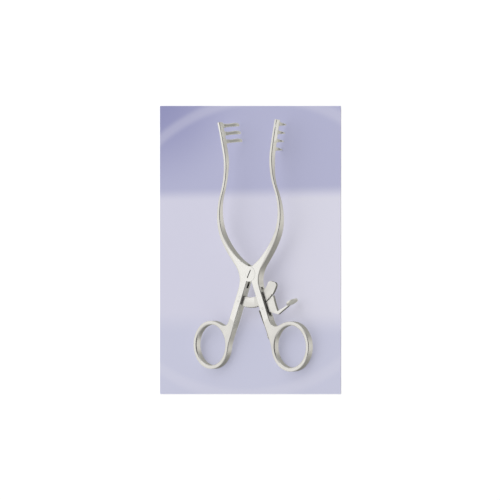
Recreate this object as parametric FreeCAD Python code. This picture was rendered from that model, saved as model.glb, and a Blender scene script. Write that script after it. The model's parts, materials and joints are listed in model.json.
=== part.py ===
"""Self retaining retractor with a ratchet lock, built as the real instrument is assembled.

Every piece is drawn in the plane of the instrument: the joint screw stands on the origin
along Z, +Y runs to the tips and +X to the side of the slotted shank. The last step lays
the finished instrument down on its prongs and finger rings. All lengths are millimetres
and all angles are degrees.
"""

import FreeCAD
import Part
import math
import os

from collections import namedtuple
from FreeCAD import Vector

# Thickness of the forgings
body_thickness = 5.8
bow_thickness = 4.5
thin_thickness = 2.7
blade_thickness = 4.0
body_edge_radius = 0.45

# Centre line of one arm, as reach from the joint screw and distance from the middle
tip_reach = 99.9
tip_spread = 23.8
blade_bend_reach = 85.0
blade_bend_spread = 20.55
waist_reach = 73.0
waist_spread = 18.95
bow_reach = 34.5
bow_spread = 24.9
shoulder_reach = 13.8
shoulder_spread = 15.2
thin_reach = 62.0

# Width of one arm along its centre line
tip_width = 1.9
waist_width = 2.1
bow_width = 2.5
shoulder_width = 3.7

# Box joint
neck_half_width = 7.95
neck_reach = -2.2
ear_radius = 5.0
ear_clearance = 0.1
tongue_thickness = 1.9
tongue_radius = 5.4
tongue_clearance = 0.05
fork_slot_radius = 6.8
crotch_reach = 5.0
runout_radius = 9.9
runout_depth = 2.4

# Joint screw
screw_head_radius = 3.0
screw_head_height = 1.2
screw_radius = 1.6
screw_running_clearance = 0.05
screw_slot_width = 0.7
screw_slot_depth = 0.7
screw_slot_angle = 62.0

# Shank: a straight bar whose inner face points at the joint screw
shank_angle = 20.9
shank_width = 4.9
shank_start = 13.0

# Finger ring
ring_centre_x = 32.8
ring_centre_y = -46.8
ring_crest_half_width = 13.6
ring_crest_half_length = 14.75
ring_radial_thickness = 2.5
ring_height = 5.0
ring_hole_edge_radius = 0.8
ring_taper_start = 33.0
ring_taper_end = 43.0

# Web in the corner between shank and ring, and the inner face's flare into the ring
web_rise = 5.7
web_fill = 2.05
web_notch_angle = 137.0
web_end_angle = 112.0
flare_start = 46.2
flare_turn = 12.0

# Prongs, measured across the arm (out) and down from the top face (deep)
prong_pitch = 5.5
prong_width = 2.35
prong_root_width = 3.5
prong_thickness = 1.6
prong_depth = 16.7
prong_bulge = 6.4
prong_tip_inset = 3.2
prong_tip_size = 0.3

# What differs between the two halves: the arm's turn outwards about the joint screw, its
# longer or shorter blade, the corner between the arms, and its prongs from the blade's end
Arm = namedtuple("Arm", "lean added_reach crotch_spread first_prong prong_count")
left_arm = Arm(lean=1.0, added_reach=1.7, crotch_spread=0.3, first_prong=1.95, prong_count=3)
right_arm = Arm(lean=-1.0, added_reach=-0.6, crotch_spread=2.1, first_prong=2.55, prong_count=4)

# Ratchet bar, an arc about the joint screw
bar_outer_radius = 22.2
bar_width = 6.9
bar_thickness = 1.9
bar_slot_clearance = 0.4
bar_end_angle = 74.0
bar_corner_radius = 2.2
bar_tenon_depth = 3.7
tooth_pitch_angle = 4.0
tooth_depth = 0.75
tooth_first_angle = -16.0
tooth_count = 17
rivet_radius = 0.7
rivet_inset = 1.5

# Slot through the right shank, past the ratchet bar and past the lever pin
slot_bar_margin = 4.3
slot_pin_margin = 6.3

# Release lever
pin_stand = 2.9
pin_radius = 0.8
pin_running_clearance = 0.05
boss_radius = 1.9
nose_clearance = 0.08
nose_relief = 0.35
nose_face_start_angle = 8.0
nose_start_angle = 17.5
nose_tooth_count = 3
lever_back = 11.8
lever_back_hollow = 0.15
lever_foot_drop = 7.5
lever_arm_width = 1.7
heel_reach = 2.6
heel_stand = 1.0
heel_radius = 0.7
lever_foot_rise = 3.6
pad_centre_out = 24.3
pad_centre_drop = 4.1
pad_tilt = 9.5
pad_length = 7.6
pad_width = 8.2
pad_thickness = 0.9
pad_dish_radius = 9.5

# Leaf spring
spring_thickness = 0.5
spring_width = 4.0
spring_stand = 0.1
spring_end_reach = 45.4
spring_end_margin = 2.4
spring_flat_length = 6.9
spring_tip_overhang = 2.7
spring_screw_radius = 0.8
spring_screw_clearance = 0.1
spring_screw_depth = 3.2
spring_head_radius = 1.5
spring_head_height = 0.9
spring_slot_width = 0.4
spring_slot_depth = 0.4

half_thickness = body_thickness / 2
shank_turn = math.radians(shank_angle)
tooth_root_radius = bar_outer_radius - tooth_depth
bar_inner_radius = bar_outer_radius - bar_width
slot_half_gap = bar_thickness / 2 + bar_slot_clearance
pin_reach = bar_outer_radius + pin_stand
slot_start = bar_inner_radius - slot_bar_margin
slot_end = pin_reach + slot_pin_margin
lever_foot_reach = pin_reach + lever_foot_drop
pad_centre_reach = pin_reach + pad_centre_drop
spring_screw_reach = spring_end_reach - spring_end_margin
spring_bend_reach = spring_end_reach - spring_flat_length
spring_tip_reach = pin_reach + heel_reach - spring_tip_overhang


def shank_point(out, along, height=0.0):
    """A point given across the right shank (out) and along it from the joint screw."""
    x = out * math.cos(shank_turn) + along * math.sin(shank_turn)
    y = out * math.sin(shank_turn) - along * math.cos(shank_turn)
    return Vector(x, y, height)


def polar(radius, angle, height=0.0):
    """A point about the joint screw, at an angle from straight back towards +X."""
    turn = math.radians(angle)
    return Vector(radius * math.sin(turn), -radius * math.cos(turn), height)


def shank_polar(radius, angle, height=0.0):
    """A point about the joint screw, at an angle from the shank's inner face."""
    return polar(radius, angle + shank_angle, height)


def line(start, end):
    return Part.LineSegment(start, end).toShape()


def arc(start, middle, end):
    return Part.Arc(start, middle, end).toShape()


def centred_arc(radius, start_angle, end_angle, height=0.0):
    """An arc about the joint screw, with its angles from straight back."""
    middle_angle = (start_angle + end_angle) / 2
    return arc(
        polar(radius, start_angle, height),
        polar(radius, middle_angle, height),
        polar(radius, end_angle, height),
    )


def smooth(points, end_direction=None):
    """A smooth curve through the points, leaving the last one in a given direction."""
    curve = Part.BSplineCurve()
    if end_direction is None:
        curve.interpolate(Points=points)
        return curve
    free = Vector(0, 0, 0)
    tangents = [free] * (len(points) - 1) + [end_direction]
    flags = [False] * (len(points) - 1) + [True]
    curve.interpolate(Points=points, Tangents=tangents, TangentFlags=flags)
    return curve


def leaving_arc(start, direction, end):
    """The arc between two points that leaves the first one in a given direction."""
    chord = end - start
    across = chord - direction * chord.dot(direction)
    if across.Length < 1e-6 * chord.Length:
        return line(start, end)
    across = across.normalize()
    radius = chord.dot(chord) / (2 * chord.dot(across))
    centre = start + across * radius
    outward = ((start - centre) + (end - centre)).normalize()
    return arc(start, centre + outward * radius, end)


def two_arcs(start, leave, end, arrive):
    """Two arcs in one smooth line, from a point and direction to a point and direction."""
    chord = end - start
    spread = 2 * (1 - leave.dot(arrive))
    along = chord.dot(leave + arrive)
    if spread < 1e-9:
        reach = chord.dot(chord) / (2 * along)
    else:
        reach = (math.sqrt(along * along + spread * chord.dot(chord)) - along) / spread
    meeting = (start + leave * reach + end - arrive * reach) * 0.5
    return [leaving_arc(start, leave, meeting), leaving_arc(end, arrive * -1, meeting)]


def arcs_through(points, end_direction=None):
    """A smooth line of arcs through the points, leaving the last one in a given direction."""
    guide = smooth(points, end_direction)
    directions = [guide.tangent(guide.parameter(point))[0] for point in points]
    edges = []
    for step in range(len(points) - 1):
        edges += two_arcs(points[step], directions[step], points[step + 1], directions[step + 1])
    return edges


def plate(edges, low, high):
    """A flat plate between two heights, with the outline that the edges make at height 0."""
    wire = Part.Wire(Part.__sortEdges__(edges))
    face = Part.Face(wire)
    face.translate(Vector(0, 0, low))
    return face.extrude(Vector(0, 0, high - low))


def rod(radius, low, high, place):
    """A round rod along Z at a place in the plane."""
    return Part.makeCylinder(radius, high - low, Vector(place.x, place.y, low))


def arm_stations(arm):
    """Points of the arm's centre line, leaned outwards, with the arm's width at each."""
    turn = math.radians(arm.lean)
    slope = (tip_spread - blade_bend_spread) / (tip_reach - blade_bend_reach)
    stations = [
        (tip_spread + slope * arm.added_reach, tip_reach + arm.added_reach, tip_width),
        (blade_bend_spread, blade_bend_reach, tip_width),
        (waist_spread, waist_reach, waist_width),
        (bow_spread, bow_reach, bow_width),
        (shoulder_spread, shoulder_reach, shoulder_width),
    ]
    leaned = []
    for spread, reach, width in stations:
        x = spread * math.cos(turn) + reach * math.sin(turn)
        y = reach * math.cos(turn) - spread * math.sin(turn)
        leaned.append((Vector(x, y, 0), width))
    return leaned


def arm_side(side, arm):
    """Points of one edge of the arm: side 1 is the outer edge, side -1 the inner edge."""
    stations = arm_stations(arm)
    centre = smooth([place for place, width in stations] + [Vector(2.5, 2.5, 0)])
    points = []
    for place, width in stations:
        direction = centre.tangent(centre.parameter(place))[0]
        outward = Vector(-direction.y, direction.x, 0)
        points.append(place + outward * (side * width / 2))
    return points


def blade_direction(arm):
    """The direction of the straight end of the arm, towards the tip."""
    tip, bend = arm_stations(arm)[0][0], arm_stations(arm)[1][0]
    return (tip - bend).normalize()


def rear_prong_reach(arm):
    """How far from the joint screw the last of an arm's prongs stands."""
    return tip_reach + arm.added_reach - arm.first_prong - prong_pitch * (arm.prong_count - 1)


def arm_underside(arm):
    """The space below the arm, which is thinner than the joint and deeper at the blade."""
    blade_start = rear_prong_reach(arm) - prong_pitch
    top = half_thickness
    curve = arcs_through(
        [
            Vector(0, shoulder_reach, -half_thickness),
            Vector(0, bow_reach, top - bow_thickness),
            Vector(0, thin_reach, top - thin_thickness),
            Vector(0, blade_start, top - blade_thickness),
        ],
        Vector(0, 1, 0),
    )
    far = tip_reach + body_thickness
    low = -2 * body_thickness
    edges = curve + [
        line(Vector(0, blade_start, top - blade_thickness), Vector(0, far, top - blade_thickness)),
        line(Vector(0, far, top - blade_thickness), Vector(0, far, low)),
        line(Vector(0, far, low), Vector(0, shoulder_reach, low)),
        line(Vector(0, shoulder_reach, low), Vector(0, shoulder_reach, -half_thickness)),
    ]
    face = Part.Face(Part.Wire(edges))
    return face.extrude(Vector(bow_spread + body_thickness, 0, 0))


def forging(arm):
    """Arm, joint block, shank and finger ring of one half on the +X side, in one outline."""
    outer = arm_side(1, arm)
    inner = arm_side(-1, arm)
    crotch = Vector(arm.crotch_spread, crotch_reach, 0)
    shank_out = shank_point(shank_width, shank_start)
    shank_in = shank_point(0, ear_radius)
    neck = Vector(neck_half_width, neck_reach, 0)
    edges = arcs_through(outer + [neck, shank_out], shank_down()) + arcs_through(inner + [crotch])
    edges += ring_and_web_edges(shank_out)
    edges += [
        line(shank_point(0, flare_start), shank_in),
        line(shank_in, crotch),
        line(inner[0], outer[0]),
    ]
    body = plate(edges, -half_thickness, half_thickness)
    below = arm_underside(arm)
    above_ring = ring_relief()
    below_ring = above_ring.mirror(Vector(0, 0, 0), Vector(0, 0, 1))
    body = body.cut([below, above_ring, below_ring])
    body = body.makeFillet(body_edge_radius, outline_edges(body))
    hole = ring_oval(-ring_radial_thickness / 2, -half_thickness, half_thickness)
    body = body.cut(hole)
    return body.makeFillet(ring_hole_edge_radius, hole_edges(body))


def shank_down():
    """The direction along the shank from the joint screw."""
    return shank_point(0, 1)


def ring_and_web_edges(shank_out):
    """The outline from the shank's outer face round the ring to its inner face."""
    wall = ring_radial_thickness / 2
    notch = ring_point(wall + web_fill, web_notch_angle)
    notch_reach = notch.dot(shank_down())
    web_start = shank_point(shank_width, notch_reach - web_rise)
    level = Vector(1, 0, 0)
    web_end = ring_point(wall, web_end_angle)
    flare_angle = shank_angle - 180 - flare_turn
    flare_end = ring_point(wall, flare_angle)
    edges = [line(shank_out, web_start)]
    edges += two_arcs(web_start, shank_down(), notch, level)
    edges += two_arcs(notch, level, web_end, ring_run(web_end_angle))
    edges += ring_arcs(wall, web_end_angle, flare_angle)
    edges += two_arcs(
        shank_point(0, flare_start), shank_down(), flare_end, ring_run(flare_angle) * -1
    )
    return edges


def outline_edges(body):
    """The long edges of a forging, apart from those inside the joint."""
    chosen = []
    for edge in body.Edges:
        start, end = edge.Vertexes[0].Point, edge.Vertexes[-1].Point
        upright = abs(start.x - end.x) < 1e-6 and abs(start.y - end.y) < 1e-6
        reaches = [math.hypot(point.x, point.y) for point in (start, end)]
        in_joint = max(reaches) < ear_radius + 1
        if not (upright or in_joint):
            chosen.append(edge)
    return chosen


def hole_edges(body):
    """The rims of the finger hole."""
    centre = Vector(ring_centre_x, ring_centre_y, 0)
    chosen = []
    for edge in body.Edges:
        start, end = edge.Vertexes[0].Point, edge.Vertexes[-1].Point
        flat = abs(start.z - end.z) < 1e-6 and abs(abs(start.z) - ring_height / 2) < 1e-6
        reaches = [math.hypot(point.x - centre.x, point.y - centre.y) for point in (start, end)]
        if flat and max(reaches) < ring_crest_half_length - ring_radial_thickness / 4:
            chosen.append(edge)
    return chosen


def ring_point(grow, facing):
    """Where the oval, grown from the ring's crest line, faces a direction given from +X."""
    half_width = ring_crest_half_width + grow
    half_length = ring_crest_half_length + grow
    offset = (half_length - half_width) / (2 - math.sqrt(2))
    across, ahead = math.cos(math.radians(facing)), math.sin(math.radians(facing))
    if abs(ahead) > abs(across):
        middle = Vector(0, math.copysign(offset, ahead), 0)
        radius = half_length - offset
    else:
        middle = Vector(-math.copysign(offset, across), 0, 0)
        radius = half_width + offset
    return Vector(ring_centre_x, ring_centre_y, 0) + middle + Vector(across, ahead, 0) * radius


def ring_run(facing):
    """The clockwise direction along the ring where it faces a direction given from +X."""
    turn = math.radians(facing)
    return Vector(math.sin(turn), -math.cos(turn), 0)


def ring_arcs(grow, first, last):
    """The oval's arcs, clockwise from where it faces one direction to another."""
    corners = [corner for corner in (135, 45, -45, -135) if last < corner < first]
    stops = [first] + corners + [last]
    edges = []
    for start, end in zip(stops, stops[1:]):
        middle = ring_point(grow, (start + end) / 2)
        edges.append(arc(ring_point(grow, start), middle, ring_point(grow, end)))
    return edges


def ring_oval(grow, low, high):
    """An oval disc about the ring's centre, grown from the ring's crest line."""
    return plate(ring_arcs(grow, 135, -225), low, high)


def ring_relief():
    """The space above the ring and the shank's end, which are thinner than the shank."""
    low = ring_height / 2
    high = half_thickness
    side = -2 * ring_crest_half_width
    far = ring_taper_end + 4 * ring_crest_half_length
    above = high + body_thickness
    start = shank_point(side, ring_taper_start, high)
    end = shank_point(side, ring_taper_end, low)
    edges = two_arcs(start, shank_down(), end, shank_down())
    edges += [
        line(end, shank_point(side, far, low)),
        line(shank_point(side, far, low), shank_point(side, far, above)),
        line(shank_point(side, far, above), shank_point(side, ring_taper_start, above)),
        line(shank_point(side, ring_taper_start, above), start),
    ]
    face = Part.Face(Part.Wire(edges))
    return face.extrude(shank_point(6 * ring_crest_half_width, 0))


def section_wire(centre, along, across, width, thickness):
    """A rounded rectangle square to a prong's centre line."""
    corner = 0.42 * min(width, thickness)
    side = along.cross(across).normalize()
    half_w, half_t = width / 2, thickness / 2
    turn_in = corner * (1 - math.sqrt(0.5))

    def at(u, v):
        return centre + across * u + side * v

    edges = []
    corners = [(1, 1), (-1, 1), (-1, -1), (1, -1)]
    for step, (sign_u, sign_v) in enumerate(corners):
        flat_u = at(sign_u * (half_w - corner), sign_v * half_t)
        flat_v = at(sign_u * half_w, sign_v * (half_t - corner))
        bend = at(sign_u * (half_w - turn_in), sign_v * (half_t - turn_in))
        first, last = (flat_v, flat_u) if step % 2 == 0 else (flat_u, flat_v)
        edges.append(arc(first, bend, last))
        next_u, next_v = corners[(step + 1) % 4]
        if step % 2 == 0:
            following = at(next_u * (half_w - corner), next_v * half_t)
        else:
            following = at(next_u * half_w, next_v * (half_t - corner))
        edges.append(line(last, following))
    return Part.Wire(edges)


def prong(distance, arm):
    """One claw-shaped prong of the +X arm, at a distance back from the arm's end."""
    forward = blade_direction(arm)
    outward = Vector(forward.y, -forward.x, 0)
    arm_end = arm_side(1, arm)[0]
    edge = arm_end - forward * distance
    low = prong_depth - prong_thickness / 2

    def place(out, deep):
        return edge + outward * out + Vector(0, 0, half_thickness - deep)

    root_deep = blade_thickness - prong_thickness / 2
    span = low - root_deep
    centre_points = [
        place(-tip_width / 2, root_deep),
        place(-0.25 * prong_bulge - tip_width / 4, root_deep + 0.26 * span),
        place(-0.87 * prong_bulge, root_deep + 0.66 * span),
        place(-prong_bulge, low - 0.13 * span),
        place(-(0.62 * prong_bulge + 0.38 * prong_tip_inset), low),
        place(-prong_tip_inset, low - 0.3 * prong_thickness),
    ]
    curve = smooth(centre_points)
    sizes = [
        (0.0, prong_root_width, tip_width * 0.96),
        (0.1, (prong_root_width + prong_width) / 2, prong_thickness * 1.05),
        (0.22, prong_width, prong_thickness),
        (0.45, prong_width, prong_thickness),
        (0.66, prong_width * 0.93, prong_thickness * 0.92),
        (0.84, prong_width * 0.66, prong_thickness * 0.68),
        (1.0, prong_tip_size, prong_tip_size),
    ]
    wires = []
    for share, width, thickness in sizes:
        parameter = curve.FirstParameter + share * (curve.LastParameter - curve.FirstParameter)
        along = curve.tangent(parameter)[0]
        wires.append(section_wire(curve.value(parameter), along, forward, width, thickness))
    return Part.makeLoft(wires, True, False)


def forging_and_prongs(arm):
    """One half on the +X side with its prongs, before the joint is cut."""
    distances = [arm.first_prong + prong_pitch * index for index in range(arm.prong_count)]
    return forging(arm).fuse([prong(distance, arm) for distance in distances])


def flipped(shape):
    """The same shape on the other side of the instrument's middle."""
    return shape.mirror(Vector(0, 0, 0), Vector(1, 0, 0))


def one_solid(shape):
    """The single solid of a finished forging, with its seams cleaned."""
    return shape.removeSplitter().Solids[0]


def shank_block(out_low, out_high, along_low, along_high, half_height):
    """A block square to the right shank."""
    corners = [
        shank_point(out_low, along_low),
        shank_point(out_high, along_low),
        shank_point(out_high, along_high),
        shank_point(out_low, along_high),
    ]
    edges = [line(corners[step], corners[(step + 1) % 4]) for step in range(4)]
    return plate(edges, -half_height, half_height)


def left_half():
    """Forked half: two ears on the screw, with the tongue's slot between them."""
    body = forging_and_prongs(left_arm)
    ear = rod(ear_radius, -half_thickness, half_thickness, Vector(0, 0, 0))
    body = body.fuse(ear)
    gap = tongue_thickness / 2 + tongue_clearance
    slot = rod(fork_slot_radius, -gap, gap, Vector(0, 0, 0))
    runout = shank_block(-1, runout_depth, ear_radius - 1, runout_radius, gap)
    body = body.cut([slot, runout])
    body = body.cut([
        rod(screw_radius, -half_thickness, half_thickness, Vector(0, 0, 0)),
        rod(screw_head_radius, half_thickness - screw_head_height, half_thickness, Vector(0, 0, 0)),
    ])
    body = flipped(body)
    body = body.cut([ratchet_tenon()] + ratchet_rivet_rods())
    return one_solid(body)


def right_half():
    """Tongue half, with shoulders round the ears and a slot through its shank."""
    body = forging_and_prongs(right_arm)
    recess_radius = ear_radius + ear_clearance
    half_tongue = tongue_thickness / 2
    above = rod(recess_radius, half_tongue, body_thickness, Vector(0, 0, 0))
    below = rod(recess_radius, -body_thickness, -half_tongue, Vector(0, 0, 0))
    body = body.cut([above, below])
    body = body.fuse(rod(tongue_radius, -half_tongue, half_tongue, Vector(0, 0, 0)))
    hole = screw_radius + screw_running_clearance
    body = body.cut([
        rod(hole, -body_thickness, body_thickness, Vector(0, 0, 0)),
        shank_block(-shank_width, 2 * shank_width, slot_start, slot_end, slot_half_gap),
        rod(pin_radius, -half_thickness, half_thickness, lever_pin_place()),
        spring_screw_rod(spring_screw_radius, -spring_screw_depth, spring_stand),
    ])
    return one_solid(body)


def joint_screw():
    """Slotted screw with a countersunk cheese head, flush with both ears."""
    head_low = half_thickness - screw_head_height
    head = rod(screw_head_radius, head_low, half_thickness, Vector(0, 0, 0))
    body = rod(screw_radius, -half_thickness, half_thickness, Vector(0, 0, 0)).fuse(head)
    groove = Part.makeBox(
        4 * screw_head_radius,
        screw_slot_width,
        screw_slot_depth * 2,
        Vector(-2 * screw_head_radius, -screw_slot_width / 2, half_thickness - screw_slot_depth),
    )
    groove.rotate(Vector(0, 0, 0), Vector(0, 0, 1), screw_slot_angle)
    return one_solid(body.cut(groove))


def ratchet_teeth(start_angle, count, tip_radius, root_radius):
    """Saw teeth along an arc: each rises at once and falls slowly towards its end."""
    edges = []
    for index in range(count):
        angle = start_angle + index * tooth_pitch_angle
        following = angle + tooth_pitch_angle
        edges.append(line(polar(root_radius, angle), polar(tip_radius, angle)))
        edges.append(line(polar(tip_radius, angle), polar(root_radius, following)))
    return edges


def ratchet_tenon():
    """The end of the ratchet bar that sits in the left shank."""
    half = bar_thickness / 2
    outer = rod(bar_outer_radius - tooth_depth, -half, half, Vector(0, 0, 0))
    inner = rod(bar_inner_radius, -half, half, Vector(0, 0, 0))
    block = flipped(shank_block(-0.4, bar_tenon_depth, slot_start, slot_end, half))
    return outer.cut(inner).common(block)


def ratchet_rivet_rods():
    """Two flush rivets through the left shank and the tenon of the ratchet bar."""
    rods = []
    for radius in (bar_inner_radius + rivet_inset, tooth_root_radius - rivet_inset):
        out = bar_tenon_depth / 2
        along = math.sqrt(radius * radius - out * out)
        place = shank_point(out, along)
        rods.append(rod(rivet_radius, -half_thickness, half_thickness, Vector(-place.x, place.y, 0)))
    return rods


def ratchet_bar():
    """Flat toothed arc, fixed in the left shank and free at its rounded right end."""
    half = bar_thickness / 2
    start = -shank_angle
    teeth_end = tooth_first_angle + tooth_count * tooth_pitch_angle
    end = bar_end_angle
    corner_outer = math.degrees(bar_corner_radius / bar_outer_radius)
    corner_inner = math.degrees(bar_corner_radius / bar_inner_radius)
    mid_turn = 1 - math.sqrt(0.5)
    edges = [
        centred_arc(tooth_root_radius, start, tooth_first_angle),
    ]
    edges += ratchet_teeth(tooth_first_angle, tooth_count, bar_outer_radius, tooth_root_radius)
    edges += [
        line(polar(tooth_root_radius, teeth_end), polar(bar_outer_radius, teeth_end)),
        centred_arc(bar_outer_radius, teeth_end, end - corner_outer),
        arc(
            polar(bar_outer_radius, end - corner_outer),
            polar(bar_outer_radius - bar_corner_radius * mid_turn, end - corner_outer * mid_turn),
            polar(bar_outer_radius - bar_corner_radius, end),
        ),
        line(
            polar(bar_outer_radius - bar_corner_radius, end),
            polar(bar_inner_radius + bar_corner_radius, end),
        ),
        arc(
            polar(bar_inner_radius + bar_corner_radius, end),
            polar(bar_inner_radius + bar_corner_radius * mid_turn, end - corner_inner * mid_turn),
            polar(bar_inner_radius, end - corner_inner),
        ),
        centred_arc(bar_inner_radius, end - corner_inner, start),
        line(polar(bar_inner_radius, start), polar(tooth_root_radius, start)),
    ]
    bar = plate(edges, -half, half)
    return one_solid(bar.fuse(ratchet_tenon()).cut(ratchet_rivet_rods()))


def ratchet_rivets():
    return Part.makeCompound(ratchet_rivet_rods())


def lever_pin_place():
    return shank_point(shank_width / 2, pin_reach)


def release_lever():
    """Pawl plate on its pin, with a heel for the spring and an arm to the thumb pad."""
    half = bar_thickness / 2
    pin = lever_pin_place()
    nose_radius = bar_outer_radius + nose_clearance
    relief_radius = bar_outer_radius + nose_relief
    nose_end_angle = nose_start_angle + nose_tooth_count * tooth_pitch_angle
    first = shank_polar(relief_radius, nose_face_start_angle)
    face_middle_angle = (nose_face_start_angle + nose_start_angle) / 2
    last = shank_polar(relief_radius, nose_start_angle)
    edges = [arc(first, shank_polar(relief_radius, face_middle_angle), last)]
    reach = nose_radius
    valley = nose_radius + tooth_depth
    for index in range(nose_tooth_count):
        angle = nose_start_angle + index * tooth_pitch_angle
        peak = shank_polar(reach, angle + 0.15 * tooth_pitch_angle)
        dip = shank_polar(valley, angle + tooth_pitch_angle)
        edges.append(line(last, peak))
        edges.append(line(peak, dip))
        last = dip
    corner = shank_polar(relief_radius + 0.6, nose_end_angle + 2.0)
    back_low = shank_point(lever_back, lever_foot_reach - lever_arm_width - 0.4)
    pad_near = pad_point(-0.4 * pad_length)
    pad_middle = pad_point(-0.08 * pad_length)
    foot = shank_point(lever_back - 0.2, lever_foot_reach)
    waist = shank_point(shank_width + 1.6, lever_foot_reach - lever_foot_rise)
    heel_place = shank_point(-heel_stand + heel_radius, pin_reach + heel_reach)
    edges += [
        line(last, corner),
        arc(corner, shank_point(lever_back - lever_back_hollow, pin_reach + 0.4), back_low),
        line(back_low, pad_near),
        line(pad_near, pad_middle),
        line(pad_middle, foot),
        arc(foot, shank_point(lever_back - 2.4, lever_foot_reach - 1.5), waist),
        line(waist, shank_point(shank_width / 2, pin_reach + heel_reach + heel_radius)),
        line(
            shank_point(shank_width / 2, pin_reach + heel_reach + heel_radius),
            shank_point(shank_width / 2, pin_reach - 0.5),
        ),
        line(shank_point(shank_width / 2, pin_reach - 0.5), first),
    ]
    body = plate(edges, -half, half)
    boss = rod(boss_radius, -half, half, pin)
    heel = rod(heel_radius, -half, half, heel_place)
    heel_bar = shank_block(
        -heel_stand + heel_radius,
        shank_width / 2 + 0.5,
        pin_reach + heel_reach - heel_radius,
        pin_reach + heel_reach + heel_radius,
        half,
    )
    body = body.fuse([boss, heel, heel_bar, thumb_pad()])
    return one_solid(body.cut(rod(pin_radius + pin_running_clearance, -half, half, pin)))


def pad_frame():
    """Centre of the thumb pad's hollow, the way the hollow faces and the pad's long way."""
    facing = shank_point(-math.tan(math.radians(pad_tilt)), -1).normalize()
    centre = shank_point(pad_centre_out, pad_centre_reach)
    along = Vector(facing.y, -facing.x, 0)
    return centre, facing, along


def pad_point(distance):
    """A point in the middle of the pad's skin, at a distance along it from the centre."""
    centre, facing, along = pad_frame()
    sag = pad_dish_radius - math.sqrt(pad_dish_radius ** 2 - distance ** 2)
    return centre + along * distance + facing * (sag - pad_thickness / 2)


def thumb_pad():
    """Dished oval pad whose hollow faces the joint."""
    centre, facing, along = pad_frame()
    low = centre - facing * (2 * pad_thickness)
    rim = Part.Ellipse(low + Vector(0, 0, pad_width / 2), low + along * (pad_length / 2), low)
    column = Part.Face(Part.Wire(rim.toShape())).extrude(facing * (5 * pad_thickness))
    ball_centre = centre + facing * pad_dish_radius
    hollow = Part.makeSphere(pad_dish_radius, ball_centre)
    skin = Part.makeSphere(pad_dish_radius + pad_thickness, ball_centre)
    return skin.cut(hollow).common(column).Solids[0]


def lever_pin():
    """Pin of the release lever, flush with both faces of the shank."""
    return rod(pin_radius, -half_thickness, half_thickness, lever_pin_place())


def spring_screw_rod(radius, low, high):
    """A rod square to the right shank's inner face, by height above that face."""
    foot = shank_point(-low, spring_screw_reach)
    outward = shank_point(-1, 0)
    return Part.makeCylinder(radius, high - low, foot, outward)


def leaf_spring():
    """Flat spring, screwed to the shank's inner face, with its tip on the lever's heel."""
    near = -spring_stand
    tip_near = -heel_stand - 0.03
    touch = pin_reach + heel_reach
    inner = smooth(
        [
            shank_point(tip_near - 0.25, spring_tip_reach),
            shank_point(tip_near, touch),
            shank_point(near - 0.5, (touch + spring_bend_reach) / 2),
            shank_point(near, spring_bend_reach),
        ],
        shank_point(0, 1),
    )
    outer = smooth(
        [
            shank_point(tip_near - 0.25 - spring_thickness, spring_tip_reach),
            shank_point(tip_near - spring_thickness, touch),
            shank_point(near - 0.5 - spring_thickness, (touch + spring_bend_reach) / 2),
            shank_point(near - spring_thickness, spring_bend_reach),
        ],
        shank_point(0, 1),
    )
    bend_in = shank_point(near, spring_bend_reach)
    bend_out = shank_point(near - spring_thickness, spring_bend_reach)
    end_in = shank_point(near, spring_end_reach)
    end_out = shank_point(near - spring_thickness, spring_end_reach)
    edges = [
        inner.toShape(),
        line(bend_in, end_in),
        line(end_in, end_out),
        line(end_out, bend_out),
        outer.toShape(),
        line(outer.StartPoint, inner.StartPoint),
    ]
    strip = plate(edges, -spring_width / 2, spring_width / 2)
    hole = spring_screw_rod(spring_screw_radius + spring_screw_clearance, -1, 2)
    return one_solid(strip.cut(hole))


def leaf_spring_screw():
    """Small slotted screw through the foot of the leaf spring."""
    head_low = 2 * spring_stand + spring_thickness
    head_high = head_low + spring_head_height
    head = spring_screw_rod(spring_head_radius, head_low, head_high)
    body = spring_screw_rod(spring_screw_radius, -spring_screw_depth, head_low).fuse(head)
    groove = shank_block(
        -head_high - 1,
        -head_high + spring_slot_depth,
        spring_screw_reach - spring_slot_width / 2,
        spring_screw_reach + spring_slot_width / 2,
        2 * spring_head_radius,
    )
    return one_solid(body.cut(groove))


def lay_down(shape):
    """Lay the instrument on its rear-most prongs and the far ends of its rings."""
    prong_reach = rear_prong_reach(right_arm)
    ring_reach = ring_centre_y - ring_crest_half_length
    rise = (prong_depth - half_thickness) - ring_height / 2
    tilt = math.degrees(math.atan2(rise, prong_reach - ring_reach))
    laid = shape.copy()
    laid.rotate(Vector(0, 0, 0), Vector(1, 0, 0), tilt)
    return laid


def main():
    shapes = {
        "left_half": left_half(),
        "right_half": right_half(),
        "joint_screw": joint_screw(),
        "ratchet_bar": ratchet_bar(),
        "ratchet_rivets": ratchet_rivets(),
        "release_lever": release_lever(),
        "lever_pin": lever_pin(),
        "leaf_spring": leaf_spring(),
        "leaf_spring_screw": leaf_spring_screw(),
    }
    laid = {name: lay_down(shape) for name, shape in shapes.items()}
    whole = Part.makeCompound(list(laid.values())).optimalBoundingBox(False, False)
    to_origin = Vector(-(whole.XMin + whole.XMax) / 2, -(whole.YMin + whole.YMax) / 2, -whole.ZMin)
    os.makedirs("parts", exist_ok=True)
    for name, shape in laid.items():
        shape.translate(to_origin)
        shape.exportStep("parts/" + name + ".step")
        print(name, "solids", len(shape.Solids), "volume", round(shape.Volume, 1), "valid", shape.isValid())
    print("joint screw at", to_origin)


main()
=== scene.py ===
"""The looks of a hinged retractor in satin steel: two halves, ratchet, release lever and spring.

Every length is in metres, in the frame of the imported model. The instrument's own plane is
square to the joint screw, and its forward direction runs from the screw to the tips.
"""

import json
import math

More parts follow.
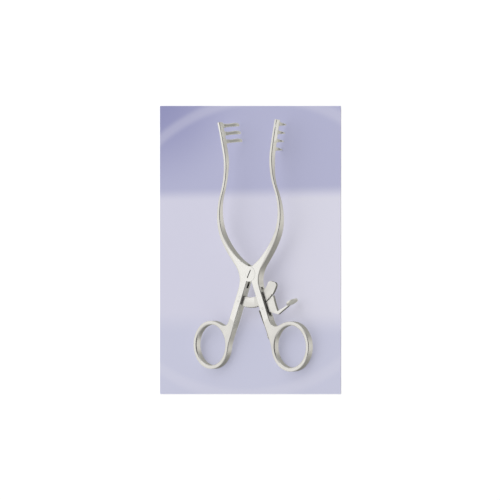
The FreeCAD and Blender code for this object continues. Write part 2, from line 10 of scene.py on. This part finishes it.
import bpy
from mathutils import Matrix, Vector


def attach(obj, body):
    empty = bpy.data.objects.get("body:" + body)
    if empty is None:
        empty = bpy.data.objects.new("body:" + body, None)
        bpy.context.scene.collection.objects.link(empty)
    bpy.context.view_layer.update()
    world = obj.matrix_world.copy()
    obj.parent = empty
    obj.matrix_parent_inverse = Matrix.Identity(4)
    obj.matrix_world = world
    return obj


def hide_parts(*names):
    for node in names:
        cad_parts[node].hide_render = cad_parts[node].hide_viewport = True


MM = 0.001

# Camera, by angles from straight above the top face, and the joint screw's place in the picture
VIEW_SIDE_ANGLE = 38.0
VIEW_FORWARD_ANGLE = -2.0
VIEW_DISTANCE = 1.0
PIXELS_PER_METRE = 1532.0
PICTURE_SIZE = 500
PICTURE_CENTRE = PICTURE_SIZE / 2
JOINT_PIXEL = (248.8, 273.9)
SENSOR_WIDTH = 36.0
CLIP_START = 10 * MM
TOP_FACE_HEIGHT = 2.9 * MM

# Colours of the steels, of their worn and blasted parts, and of the shade painted on their upright
# faces and into their gaps
FORGED_COLOUR = (0.80, 0.785, 0.75, 1)
FORGED_SHADE = (0.66, 0.645, 0.61, 1)
SCREW_COLOUR = (0.74, 0.73, 0.70, 1)
# The spring's near black is partly blued spring steel and partly painted shade of the gap beside the
# shank
SPRING_COLOUR_AND_SHADE = (0.13, 0.128, 0.122, 1)
POLISHED_COLOUR = (0.86, 0.85, 0.82, 1)
# Painted shade on the upright side faces of the bar, lever, screws and spring
SIDE_FACE_SHADE_COLOUR = (0.36, 0.355, 0.33, 1)
BLASTED_COLOUR = (0.92, 0.91, 0.86, 1)
# Painted shade, laid by ambient occlusion into the gaps between pieces and into slots
CREVICE_SHADE_COLOUR = (0.10, 0.095, 0.085, 1)

# How much rougher or smoother each of them is than the steel
SIDE_FACE_ROUGHENING = 0.05
PRONG_ROUGHENING = 0.35
PAD_ROUGHENING = 0.175
CREVICE_ROUGHENING = 0.2
WORN_SMOOTHING = 0.1

# Satin grain
SMUDGE_SCALE = 85.0
SMUDGE_SHADE = 0.36
SMUDGE_GLOSS = (-0.07, 0.09)
SPECK_SHADE = 0.35
DRAWN_LINE_SCALE = (2600.0, 90.0, 2600.0)
DRAWN_LINE_HEIGHT = 0.5
GRAIN_DEPTH = 0.02 * MM
CREVICE_REACH = 1.2 * MM
CREVICE_SAMPLES = 12

# Spans over which the masks of the thumb pad and the prongs go from 0 to 1
PAD_SPAN = (30 * MM, 32 * MM)
BLADE_SPAN = (54 * MM, 56 * MM)
PRONG_SPAN = (14 * MM, 12 * MM)

# Making the pieces ready
MERGE_DISTANCE = 0.002 * MM
FLAT_ANGLE = math.radians(0.2)
SHARP_ANGLE = math.radians(40)
SMOOTH_ANGLE = math.radians(35)
EDGE_SEGMENTS = 3

# Lamps: name, place, width and length, watts and colour
LAMPS = (
    ("left_softbox", (-0.75, 0.05, 0.85), (0.9, 0.9), 0.6, (1, 0.985, 0.96)),
    ("tip_softbox", (-0.1, 0.9, 0.8), (0.8, 0.6), 1.0, (0.98, 0.98, 1)),
)

# The room that the steel reflects: tones, and the parts of a direction over which they change
ROOM_COLOUR = (0.77, 0.77, 0.765, 1)
ROOM_SHADE = (0.05, 0.05, 0.05, 1)
TABLE_GLOW = (0.93, 0.92, 0.88, 1)
TABLE_NEAR = (0.24, 0.24, 0.23, 1)
TABLE_FAR = (0.38, 0.38, 0.36, 1)
TABLE_UNDER = (0.62, 0.61, 0.56, 1)
NEAR_TO_FAR = (-0.5, 0.5)
SHADE_TO_GLOW = (0.44, 0.61)
TABLE_TO_UNDER = (-0.84, -0.93)
TABLE_TO_ROOM = (-0.70, -0.45)
DARK_SIDE = (0.0, 0.3)
DARK_SIDE_RISE = (-0.4, -0.15)
DARK_SIDE_NEAR_END = (-0.85, -0.5)
DARK_SIDE_FAR_END = (0.85, 0.5)

# The lavender card that the instrument lies on, by the pixels of its corners
CARD_LEFT = 160
CARD_RIGHT = 340.5
CARD_TOP = 106
CARD_BOTTOM = 394
CARD_THICKNESS = 0.5 * MM
FLOOR_SIZE = 6

# Paper tones, and the shares of the card's width or height over which they change
FLOOR_COLOUR = (0.96, 0.96, 0.96, 1)
CARD_COLOUR = (0.570, 0.564, 0.676, 1)
CARD_PALE_COLOUR = (0.615, 0.608, 0.704, 1)
CARD_LOW_COLOUR = (0.510, 0.516, 0.641, 1)
CARD_TOP_COLOUR = (0.406, 0.411, 0.570, 1)
CARD_CORNER_COLOUR = (0.264, 0.268, 0.448, 1)
PALE_SIDE = (0.62, 0.80)
LOW_BAND = (0.29, 0.20)
TOP_BAND = (0.661, 0.711)
TOP_BAND_SLANT = 0.024
CORNER_REACH = (0.55, 0.0)
CORNER_STRETCH = (1, 1.6)
RIM_STRETCH = (1.29, 2.04)
RIM_WIDTH = (0.94, 0.99)
RIM_STRENGTH = 0.28
PAPER_GLOW = 0.5
PAPER_ROUGHNESS = 0.9
PAPER_SHEEN = 0.1


def deselect_all():
    if bpy.context.object is not None and bpy.context.object.mode != "OBJECT":
        bpy.ops.object.mode_set(mode="OBJECT")
    bpy.ops.object.select_all(action="DESELECT")


def make_active(piece):
    deselect_all()
    piece.select_set(True)
    bpy.context.view_layer.objects.active = piece


def instrument_frame(frame):
    """The joint screw's middle, and the right, forward and upright directions of the instrument."""
    joint = next(j for j in frame["joints"] if j["name"] == "arm_pivot")
    upright = Vector(joint["axis"]).normalized()
    right = Vector((1, 0, 0))
    forward = upright.cross(right)
    return Vector(joint["pos_m"]), right, forward, upright


def add_camera(frame):
    """The camera at the photograph's viewing angle, looking down on the instrument's top face.

    Returns the directions across, up and back from the picture, and the camera's place.
    """
    centre, right, forward, upright = instrument_frame(frame)
    side = math.radians(VIEW_SIDE_ANGLE)
    lean = math.radians(VIEW_FORWARD_ANGLE)
    back = right * math.sin(side) * math.cos(lean)
    back += forward * math.sin(lean)
    back += upright * math.cos(side) * math.cos(lean)
    across = right * math.cos(side) - upright * math.sin(side)
    upward = back.cross(across)
    target = centre + upright * TOP_FACE_HEIGHT
    target += across * ((PICTURE_CENTRE - JOINT_PIXEL[0]) / PIXELS_PER_METRE)
    target += upward * ((JOINT_PIXEL[1] - PICTURE_CENTRE) / PIXELS_PER_METRE)
    place = target + back * VIEW_DISTANCE
    bpy.ops.object.camera_add(location=place)
    camera = bpy.context.object
    camera.name = "picture_camera"
    turn = camera.matrix_world.to_3x3()
    turn.col[0] = across
    turn.col[1] = upward
    turn.col[2] = back
    camera.rotation_mode = "QUATERNION"
    camera.rotation_quaternion = turn.to_quaternion()
    camera.data.sensor_width = SENSOR_WIDTH
    camera.data.lens = PIXELS_PER_METRE * VIEW_DISTANCE / PICTURE_SIZE * SENSOR_WIDTH
    camera.data.clip_start = CLIP_START
    bpy.context.scene.camera = camera
    return across, upward, back, place


def add_lamps():
    """A large soft lamp on the left above the table, and one beyond the tips."""
    for name, place, size, power, colour in LAMPS:
        bpy.ops.object.light_add(type="AREA", location=place)
        lamp = bpy.context.object
        lamp.name = name
        lamp.rotation_mode = "QUATERNION"
        lamp.rotation_quaternion = (-Vector(place)).to_track_quat("-Z", "Y")
        lamp.data.shape = "RECTANGLE"
        lamp.data.size = size[0]
        lamp.data.size_y = size[1]
        lamp.data.energy = power
        lamp.data.color = colour


def feed(tree, value, socket):
    """Joins an output to a socket, or sets the socket to a number or a colour."""
    if isinstance(value, bpy.types.NodeSocket):
        tree.links.new(value, socket)
    else:
        socket.default_value = value


def calculate(tree, operation, *values):
    node = tree.nodes.new("ShaderNodeMath")
    node.operation = operation
    for socket, value in zip(node.inputs, values):
        feed(tree, value, socket)
    return node.outputs["Value"]


def ramp(tree, value, span, lowest=0.0, highest=1.0, shape="SMOOTHSTEP"):
    """Lowest to highest, as a value goes from the start to the end of a span."""
    node = tree.nodes.new("ShaderNodeMapRange")
    node.interpolation_type = shape
    feed(tree, value, node.inputs["Value"])
    node.inputs["From Min"].default_value = span[0]
    node.inputs["From Max"].default_value = span[1]
    node.inputs["To Min"].default_value = lowest
    node.inputs["To Max"].default_value = highest
    return node.outputs["Result"]


def mixed(tree, factor, first, second):
    """The first colour at a factor of 0 and the second at 1."""
    node = tree.nodes.new("ShaderNodeMix")
    node.data_type = "RGBA"
    feed(tree, factor, node.inputs["Factor"])
    feed(tree, first, node.inputs["A"])
    feed(tree, second, node.inputs["B"])
    return node.outputs["Result"]


def parts_of(tree, vector):
    """The X, Y and Z parts of a vector."""
    node = tree.nodes.new("ShaderNodeSeparateXYZ")
    tree.links.new(vector, node.inputs["Vector"])
    return node.outputs["X"], node.outputs["Y"], node.outputs["Z"]


def object_place(tree):
    return tree.nodes.new("ShaderNodeTexCoord").outputs["Object"]


def noise(tree, place, scale, detail, roughness=0.5, distortion=0.0):
    node = tree.nodes.new("ShaderNodeTexNoise")
    tree.links.new(place, node.inputs["Vector"])
    feed(tree, scale, node.inputs["Scale"])
    node.inputs["Detail"].default_value = detail
    node.inputs["Roughness"].default_value = roughness
    node.inputs["Distortion"].default_value = distortion
    return node.outputs["Fac"]


def add_pale_room():
    """The world: a pale room, a table that darkens towards the camera and a dark right side."""
    world = bpy.data.worlds.new("pale_room")
    bpy.context.scene.world = world
    world.use_nodes = True
    tree = world.node_tree
    direction = tree.nodes.new("ShaderNodeTexCoord").outputs["Generated"]
    right, forward, upright = parts_of(tree, direction)
    tone = mixed(tree, ramp(tree, forward, NEAR_TO_FAR), TABLE_NEAR, TABLE_FAR)
    tone = mixed(tree, ramp(tree, right, SHADE_TO_GLOW), tone, TABLE_GLOW)
    tone = mixed(tree, ramp(tree, upright, TABLE_TO_UNDER), tone, TABLE_UNDER)
    tone = mixed(tree, ramp(tree, upright, TABLE_TO_ROOM), tone, ROOM_COLOUR)
    near_end = ramp(tree, forward, DARK_SIDE_NEAR_END)
    far_end = ramp(tree, forward, DARK_SIDE_FAR_END)
    ahead = calculate(tree, "MULTIPLY", near_end, far_end)
    side = ramp(tree, right, DARK_SIDE)
    rise = ramp(tree, upright, DARK_SIDE_RISE)
    dark_side = calculate(tree, "MULTIPLY", calculate(tree, "MULTIPLY", side, rise), ahead)
    tone = mixed(tree, dark_side, tone, ROOM_SHADE)
    tree.links.new(tone, tree.nodes["Background"].inputs["Color"])


def new_group(name, inputs, outputs):
    """An empty shader node group with named inputs and outputs, and its two end nodes."""
    group = bpy.data.node_groups.new(name, "ShaderNodeTree")
    for label, kind, value in inputs:
        socket = group.interface.new_socket(label, in_out="INPUT", socket_type=kind)
        socket.default_value = value
    for label, kind in outputs:
        group.interface.new_socket(label, in_out="OUTPUT", socket_type=kind)
    entry = group.nodes.new("NodeGroupInput")
    leave = group.nodes.new("NodeGroupOutput")
    return group, entry, leave


def new_mask_group(name, *more_inputs):
    """An empty group that puts out one mask, with a strength to scale it by."""
    inputs = [("Strength", "NodeSocketFloat", 1.0), *more_inputs]
    return new_group(name, inputs, [("Mask", "NodeSocketFloat")])


def put_out_mask(group, entry, leave, mask):
    scaled = calculate(group, "MULTIPLY", mask, entry.outputs["Strength"])
    group.links.new(scaled, leave.inputs["Mask"])
    return group


def satin_grain_group():
    """Fine blasted grain, faint drawn lines and broad smudges on bare steel."""
    group, entry, leave = new_group(
        "satin_grain",
        [
            ("Colour", "NodeSocketColor", (0.8, 0.8, 0.8, 1)),
            ("Shade", "NodeSocketColor", (0.6, 0.6, 0.6, 1)),
            ("Grain Size", "NodeSocketFloat", 5200.0),
            ("Roughness", "NodeSocketFloat", 0.32),
            ("Relief", "NodeSocketFloat", 0.12),
        ],
        [
            ("Colour", "NodeSocketColor"),
            ("Roughness", "NodeSocketFloat"),
            ("Normal", "NodeSocketVector"),
        ],
    )
    place = object_place(group)
    grain = noise(group, place, entry.outputs["Grain Size"], 3.0, roughness=0.62)
    smudge = noise(group, place, SMUDGE_SCALE, 4.0, distortion=0.6)
    drawn = group.nodes.new("ShaderNodeMapping")
    drawn.inputs["Scale"].default_value = DRAWN_LINE_SCALE
    group.links.new(place, drawn.inputs["Vector"])
    lines = noise(group, drawn.outputs["Vector"], 1.0, 2.0)

    tone = ramp(group, smudge, (0.3, 0.7), highest=SMUDGE_SHADE, shape="LINEAR")
    speck = calculate(group, "MULTIPLY_ADD", grain, SPECK_SHADE, tone)
    colour = mixed(group, speck, entry.outputs["Colour"], entry.outputs["Shade"])
    group.links.new(colour, leave.inputs["Colour"])

    gloss = ramp(group, smudge, (0.25, 0.75), *SMUDGE_GLOSS, shape="LINEAR")
    rough = calculate(group, "ADD", gloss, entry.outputs["Roughness"])
    group.links.new(rough, leave.inputs["Roughness"])

    bump = group.nodes.new("ShaderNodeBump")
    bump.inputs["Distance"].default_value = GRAIN_DEPTH
    height = calculate(group, "MULTIPLY_ADD", lines, DRAWN_LINE_HEIGHT, grain)
    group.links.new(height, bump.inputs["Height"])
    group.links.new(entry.outputs["Relief"], bump.inputs["Strength"])
    group.links.new(bump.outputs["Normal"], leave.inputs["Normal"])
    return group


def edge_wear_group():
    """A mask that is 1 on worn outer edges, slightly broken up by a fine noise."""
    group, entry, leave = new_mask_group("edge_wear", ("Break Up", "NodeSocketFloat", 900.0))
    point = group.nodes.new("ShaderNodeNewGeometry")
    outer = ramp(group, point.outputs["Pointiness"], (0.52, 0.60), shape="LINEAR")
    patches = noise(group, object_place(group), entry.outputs["Break Up"], 2.0)
    broken = ramp(group, patches, (0.35, 0.6), lowest=0.75, shape="LINEAR")
    mask = calculate(group, "MULTIPLY", outer, broken)
    return put_out_mask(group, entry, leave, mask)


def crevice_shade_group():
    """A mask of painted shade, 1 in the narrow gaps between pieces and in slots, where light is lost.
    """
    reach = ("Reach", "NodeSocketFloat", CREVICE_REACH)
    group, entry, leave = new_mask_group("crevice_shade", reach)
    openness = group.nodes.new("ShaderNodeAmbientOcclusion")
    openness.samples = CREVICE_SAMPLES
    group.links.new(entry.outputs["Reach"], openness.inputs["Distance"])
    mask = ramp(group, openness.outputs["AO"], (0.72, 0.28), shape="LINEAR")
    return put_out_mask(group, entry, leave, mask)


def upright_face_shade_group():
    """A mask of painted shade, 1 on the upright side faces of the pieces, and 0 on their flat faces
    and the thumb pad.
    """
    group, entry, leave = new_mask_group("upright_face_shade")
    point = group.nodes.new("ShaderNodeNewGeometry")
    facing_up = calculate(group, "ABSOLUTE", parts_of(group, point.outputs["Normal"])[2])
    upright = ramp(group, facing_up, (0.8, 0.5))
    outward = parts_of(group, object_place(group))[0]
    inboard = ramp(group, outward, PAD_SPAN[::-1], shape="LINEAR")
    mask = calculate(group, "MULTIPLY", upright, inboard)
    return put_out_mask(group, entry, leave, mask)


def thumb_pad_group():
    """A mask that is 1 on the lever's thumb pad, which is blasted matt, and 0 on its arm."""
    group, entry, leave = new_mask_group("thumb_pad")
    outward = parts_of(group, object_place(group))[0]
    mask = ramp(group, outward, PAD_SPAN, shape="LINEAR")
    return put_out_mask(group, entry, leave, mask)


def blasted_prong_group():
    """A mask that is 1 on the prongs below the arms, which are blasted matt, and 0 elsewhere."""
    group, entry, leave = new_mask_group("blasted_prong")
    forward, height = parts_of(group, object_place(group))[1:]
    at_blade = ramp(group, forward, BLADE_SPAN, shape="LINEAR")
    below_arm = ramp(group, height, PRONG_SPAN, shape="LINEAR")
    mask = calculate(group, "MULTIPLY", at_blade, below_arm)
    return put_out_mask(group, entry, leave, mask)


def place_group(tree, group, **values):
    """A node of a group, with values for its inputs, whose names are in lower case."""
    node = tree.nodes.new("ShaderNodeGroup")
    node.node_tree = group
    for name, value in values.items():
        node.inputs[name.replace("_", " ").title()].default_value = value
    return node


def steel(name, groups, stains_and_shade, edge_shine, **satin_values):
    """A bare steel with its own tone, grain and gloss, bright on worn edges, with shade painted dark
    into gaps.

    Each of the stains and painted shades is a mask group, the colour that it lays over the steel and
    how much rougher it is.
    """
    grain, wear, crevice_shade = groups
    material = bpy.data.materials.new(name)
    material.use_nodes = True
    tree = material.node_tree
    satin = place_group(tree, grain, shade=FORGED_SHADE, **satin_values)
    worn = place_group(tree, wear, strength=edge_shine).outputs["Mask"]
    tone = mixed(tree, worn, satin.outputs["Colour"], POLISHED_COLOUR)
    rough = satin.outputs["Roughness"]
    for group, colour, roughening in [*stains_and_shade, (crevice_shade, CREVICE_SHADE_COLOUR, CREVICE_ROUGHENING)]:
        mask = place_group(tree, group).outputs["Mask"]
        tone = mixed(tree, mask, tone, colour)
        rough = calculate(tree, "MULTIPLY_ADD", mask, roughening, rough)
    rough = calculate(tree, "MULTIPLY_ADD", worn, -WORN_SMOOTHING, rough)
    surface = tree.nodes["Principled BSDF"]
    surface.inputs["Metallic"].default_value = 1.0
    tree.links.new(tone, surface.inputs["Base Color"])
    tree.links.new(rough, surface.inputs["Roughness"])
    tree.links.new(satin.outputs["Normal"], surface.inputs["Normal"])
    return material


def finished_piece(frame, node, name, material, body, edge_width):
    """A merged, smooth copy of a node with softened edges, which stands for the node."""
    source = frame["nodes"][node]
    piece = source.copy()
    piece.data = source.data.copy()
    for key in list(piece.keys()):
        if key.startswith("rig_"):
            del piece[key]
    piece.parent = None
    piece.name = name
    piece.data.name = name
    bpy.context.scene.collection.objects.link(piece)
    make_active(piece)
    bpy.ops.object.mode_set(mode="EDIT")
    bpy.ops.mesh.select_all(action="SELECT")
    bpy.ops.mesh.remove_doubles(threshold=MERGE_DISTANCE)
    bpy.ops.mesh.dissolve_limited(angle_limit=FLAT_ANGLE)
    bpy.ops.object.mode_set(mode="OBJECT")
    edge = piece.modifiers.new("soft_edges", "BEVEL")
    edge.width = edge_width
    edge.segments = EDGE_SEGMENTS
    edge.limit_method = "ANGLE"
    edge.angle_limit = SHARP_ANGLE
    edge.harden_normals = False
    bpy.ops.object.modifier_apply(modifier=edge.name)
    bpy.ops.object.shade_smooth_by_angle(angle=SMOOTH_ANGLE)
    even = piece.modifiers.new("even_shading", "WEIGHTED_NORMAL")
    even.keep_sharp = True
    even.weight = 100
    bpy.ops.object.modifier_apply(modifier=even.name)
    piece.data.materials.clear()
    piece.data.materials.append(material)
    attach(piece, body)
    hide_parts(node)


def paper(name, colour):
    """Matt paper that shows part of its colour to the camera even in the object's shadow."""
    material = bpy.data.materials.new(name)
    material.use_nodes = True
    tree = material.node_tree
    surface = tree.nodes["Principled BSDF"]
    surface.inputs["Base Color"].default_value = colour
    surface.inputs["Emission Color"].default_value = colour
    surface.inputs["Roughness"].default_value = PAPER_ROUGHNESS
    surface.inputs["Specular IOR Level"].default_value = PAPER_SHEEN
    camera_ray = tree.nodes.new("ShaderNodeLightPath").outputs["Is Camera Ray"]
    glow = calculate(tree, "MULTIPLY", camera_ray, PAPER_GLOW)
    tree.links.new(glow, surface.inputs["Emission Strength"])
    return material


def distance_from(tree, place, centre, stretch):
    """How far a place is from a centre, with the card's width and height stretched."""
    shift = tree.nodes.new("ShaderNodeMapping")
    shift.inputs["Location"].default_value = (-centre[0] * stretch[0], -centre[1] * stretch[1], 0)
    shift.inputs["Scale"].default_value = (stretch[0], stretch[1], 0)
    tree.links.new(place, shift.inputs["Vector"])
    length = tree.nodes.new("ShaderNodeVectorMath")
    length.operation = "LENGTH"
    tree.links.new(shift.outputs["Vector"], length.inputs[0])
    return length.outputs["Value"]


def card_paper():
    """Lavender paper with a deeper top band and corner, a paler right side and a faint rim."""
    material = paper("lavender_card", CARD_COLOUR)
    tree = material.node_tree
    place = tree.nodes.new("ShaderNodeTexCoord").outputs["Generated"]
    across, upward = parts_of(tree, place)[:2]
    colour = mixed(tree, ramp(tree, across, PALE_SIDE), CARD_COLOUR, CARD_PALE_COLOUR)
    colour = mixed(tree, ramp(tree, upward, LOW_BAND), colour, CARD_LOW_COLOUR)
    level = calculate(tree, "MULTIPLY_ADD", across, TOP_BAND_SLANT, upward)
    colour = mixed(tree, ramp(tree, level, TOP_BAND), colour, CARD_TOP_COLOUR)
    to_corner = distance_from(tree, place, (0, 1), CORNER_STRETCH)
    colour = mixed(tree, ramp(tree, to_corner, CORNER_REACH), colour, CARD_CORNER_COLOUR)
    to_middle = distance_from(tree, place, (0.5, 0.5), RIM_STRETCH)
    from_rim = calculate(tree, "PINGPONG", to_middle, 1.0)
    rim = ramp(tree, from_rim, RIM_WIDTH, highest=RIM_STRENGTH)
    colour = mixed(tree, rim, colour, CARD_PALE_COLOUR)
    surface = tree.nodes["Principled BSDF"]
    tree.links.new(colour, surface.inputs["Base Color"])
    tree.links.new(colour, surface.inputs["Emission Color"])
    return material


def add_floor():
    bpy.ops.mesh.primitive_plane_add(size=FLOOR_SIZE, location=(0, 0, -CARD_THICKNESS))
    floor = bpy.context.object
    floor.name = "pale_floor"
    floor.data.materials.append(paper("pale_floor", FLOOR_COLOUR))
    floor.visible_glossy = False


def table_point(view_axes, pixel):
    """Where the line of sight through a pixel meets the table."""
    across, upward, back, eye = view_axes
    sight = across * ((pixel[0] - PICTURE_CENTRE) / PIXELS_PER_METRE)
    sight += upward * ((PICTURE_CENTRE - pixel[1]) / PIXELS_PER_METRE)
    sight -= back * VIEW_DISTANCE
    return eye + sight * (-eye.z / sight.z)


def add_card(view_axes):
    """The pale lavender card under the instrument, which fills the picture's middle."""
    bpy.ops.mesh.primitive_cube_add(size=2, location=(0, 0, 0))
    card = bpy.context.object
    card.name = "lavender_card"
    for corner in card.data.vertices:
        pixel_x = CARD_RIGHT if corner.co.x > 0 else CARD_LEFT
        pixel_y = CARD_TOP if corner.co.y > 0 else CARD_BOTTOM
        place = table_point(view_axes, (pixel_x, pixel_y))
        height = 0 if corner.co.z > 0 else -CARD_THICKNESS
        corner.co = (place.x, place.y, height)
    card.data.materials.append(card_paper())
    card.visible_glossy = False


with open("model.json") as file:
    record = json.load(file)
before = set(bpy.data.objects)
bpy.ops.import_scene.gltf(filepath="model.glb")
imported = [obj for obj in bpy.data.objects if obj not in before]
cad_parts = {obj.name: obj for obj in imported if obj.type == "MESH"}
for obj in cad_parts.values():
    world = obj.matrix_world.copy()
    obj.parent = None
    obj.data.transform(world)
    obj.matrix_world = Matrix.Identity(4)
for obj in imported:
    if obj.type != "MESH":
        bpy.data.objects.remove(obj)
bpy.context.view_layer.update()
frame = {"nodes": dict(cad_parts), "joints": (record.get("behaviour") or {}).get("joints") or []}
view_axes = add_camera(frame)
add_lamps()
add_pale_room()
add_floor()
add_card(view_axes)

# The grain and the edge wear are the steel's own; the crevice group paints shade into gaps
finish_and_shade_groups = (satin_grain_group(), edge_wear_group(), crevice_shade_group())
# Painted shade on upright side faces, with a little more roughness there
shaded_side_faces = (upright_face_shade_group(), SIDE_FACE_SHADE_COLOUR, SIDE_FACE_ROUGHENING)
blasted_prongs = (blasted_prong_group(), BLASTED_COLOUR, PRONG_ROUGHENING)
blasted_pad = (thumb_pad_group(), BLASTED_COLOUR, PAD_ROUGHENING)

forged_steel = steel(
    "forged_steel",
    finish_and_shade_groups,
    [blasted_prongs],
    edge_shine=1.0,
    colour=FORGED_COLOUR,
    grain_size=5200.0,
    roughness=0.29,
    relief=0.12,
)
bar_steel = steel(
    "bar_steel",
    finish_and_shade_groups,
    [shaded_side_faces],
    edge_shine=1.0,
    colour=FORGED_COLOUR,
    grain_size=6500.0,
    roughness=0.30,
    relief=0.08,
)
lever_steel = steel(
    "lever_steel",
    finish_and_shade_groups,
    [shaded_side_faces, blasted_pad],
    edge_shine=1.0,
    colour=FORGED_COLOUR,
    grain_size=6500.0,
    roughness=0.30,
    relief=0.08,
)
screw_steel = steel(
    "screw_steel",
    finish_and_shade_groups,
    [shaded_side_faces],
    edge_shine=1.0,
    colour=SCREW_COLOUR,
    grain_size=7000.0,
    roughness=0.26,
    relief=0.06,
)
# Blued spring steel, made darker with painted shade of the gap beside the shank
spring_steel = steel(
    "spring_steel",
    finish_and_shade_groups,
    [shaded_side_faces],
    edge_shine=0.1,
    colour=SPRING_COLOUR_AND_SHADE,
    grain_size=6000.0,
    roughness=0.28,
    relief=0.06,
)

# Node, piece, material, body, slot and the width of its softened edges in millimetres
pieces = (
    ("left_half", "left_arm_and_ring", forged_steel, "left_side", "forged_steel", 0.2),
    ("right_half", "right_arm_and_ring", forged_steel, "right_side", "forged_steel", 0.2),
    ("joint_screw", "slotted_joint_screw", screw_steel, "left_side", "screw_steel", 0.3),
    ("ratchet_bar", "toothed_ratchet_bar", bar_steel, "left_side", "bar_steel", 0.06),
    ("ratchet_rivets", "flush_bar_rivets", screw_steel, "left_side", "screw_steel", 0.08),
    ("release_lever", "pawl_and_thumb_pad", lever_steel, "lever", "bar_steel", 0.08),
    ("lever_pin", "flush_lever_pin", screw_steel, "right_side", "screw_steel", 0.08),
    ("leaf_spring", "pawl_leaf_spring", spring_steel, "spring", "spring_steel", 0.06),
    ("leaf_spring_screw", "leaf_spring_fixing_screw", screw_steel, "right_side", "screw_steel", 0.08),
)
for node, name, material, body, slot, edge_width in pieces:
    finished_piece(frame, node, name, material, body, edge_width * MM)

bpy.context.scene.view_settings.view_transform = "Standard"
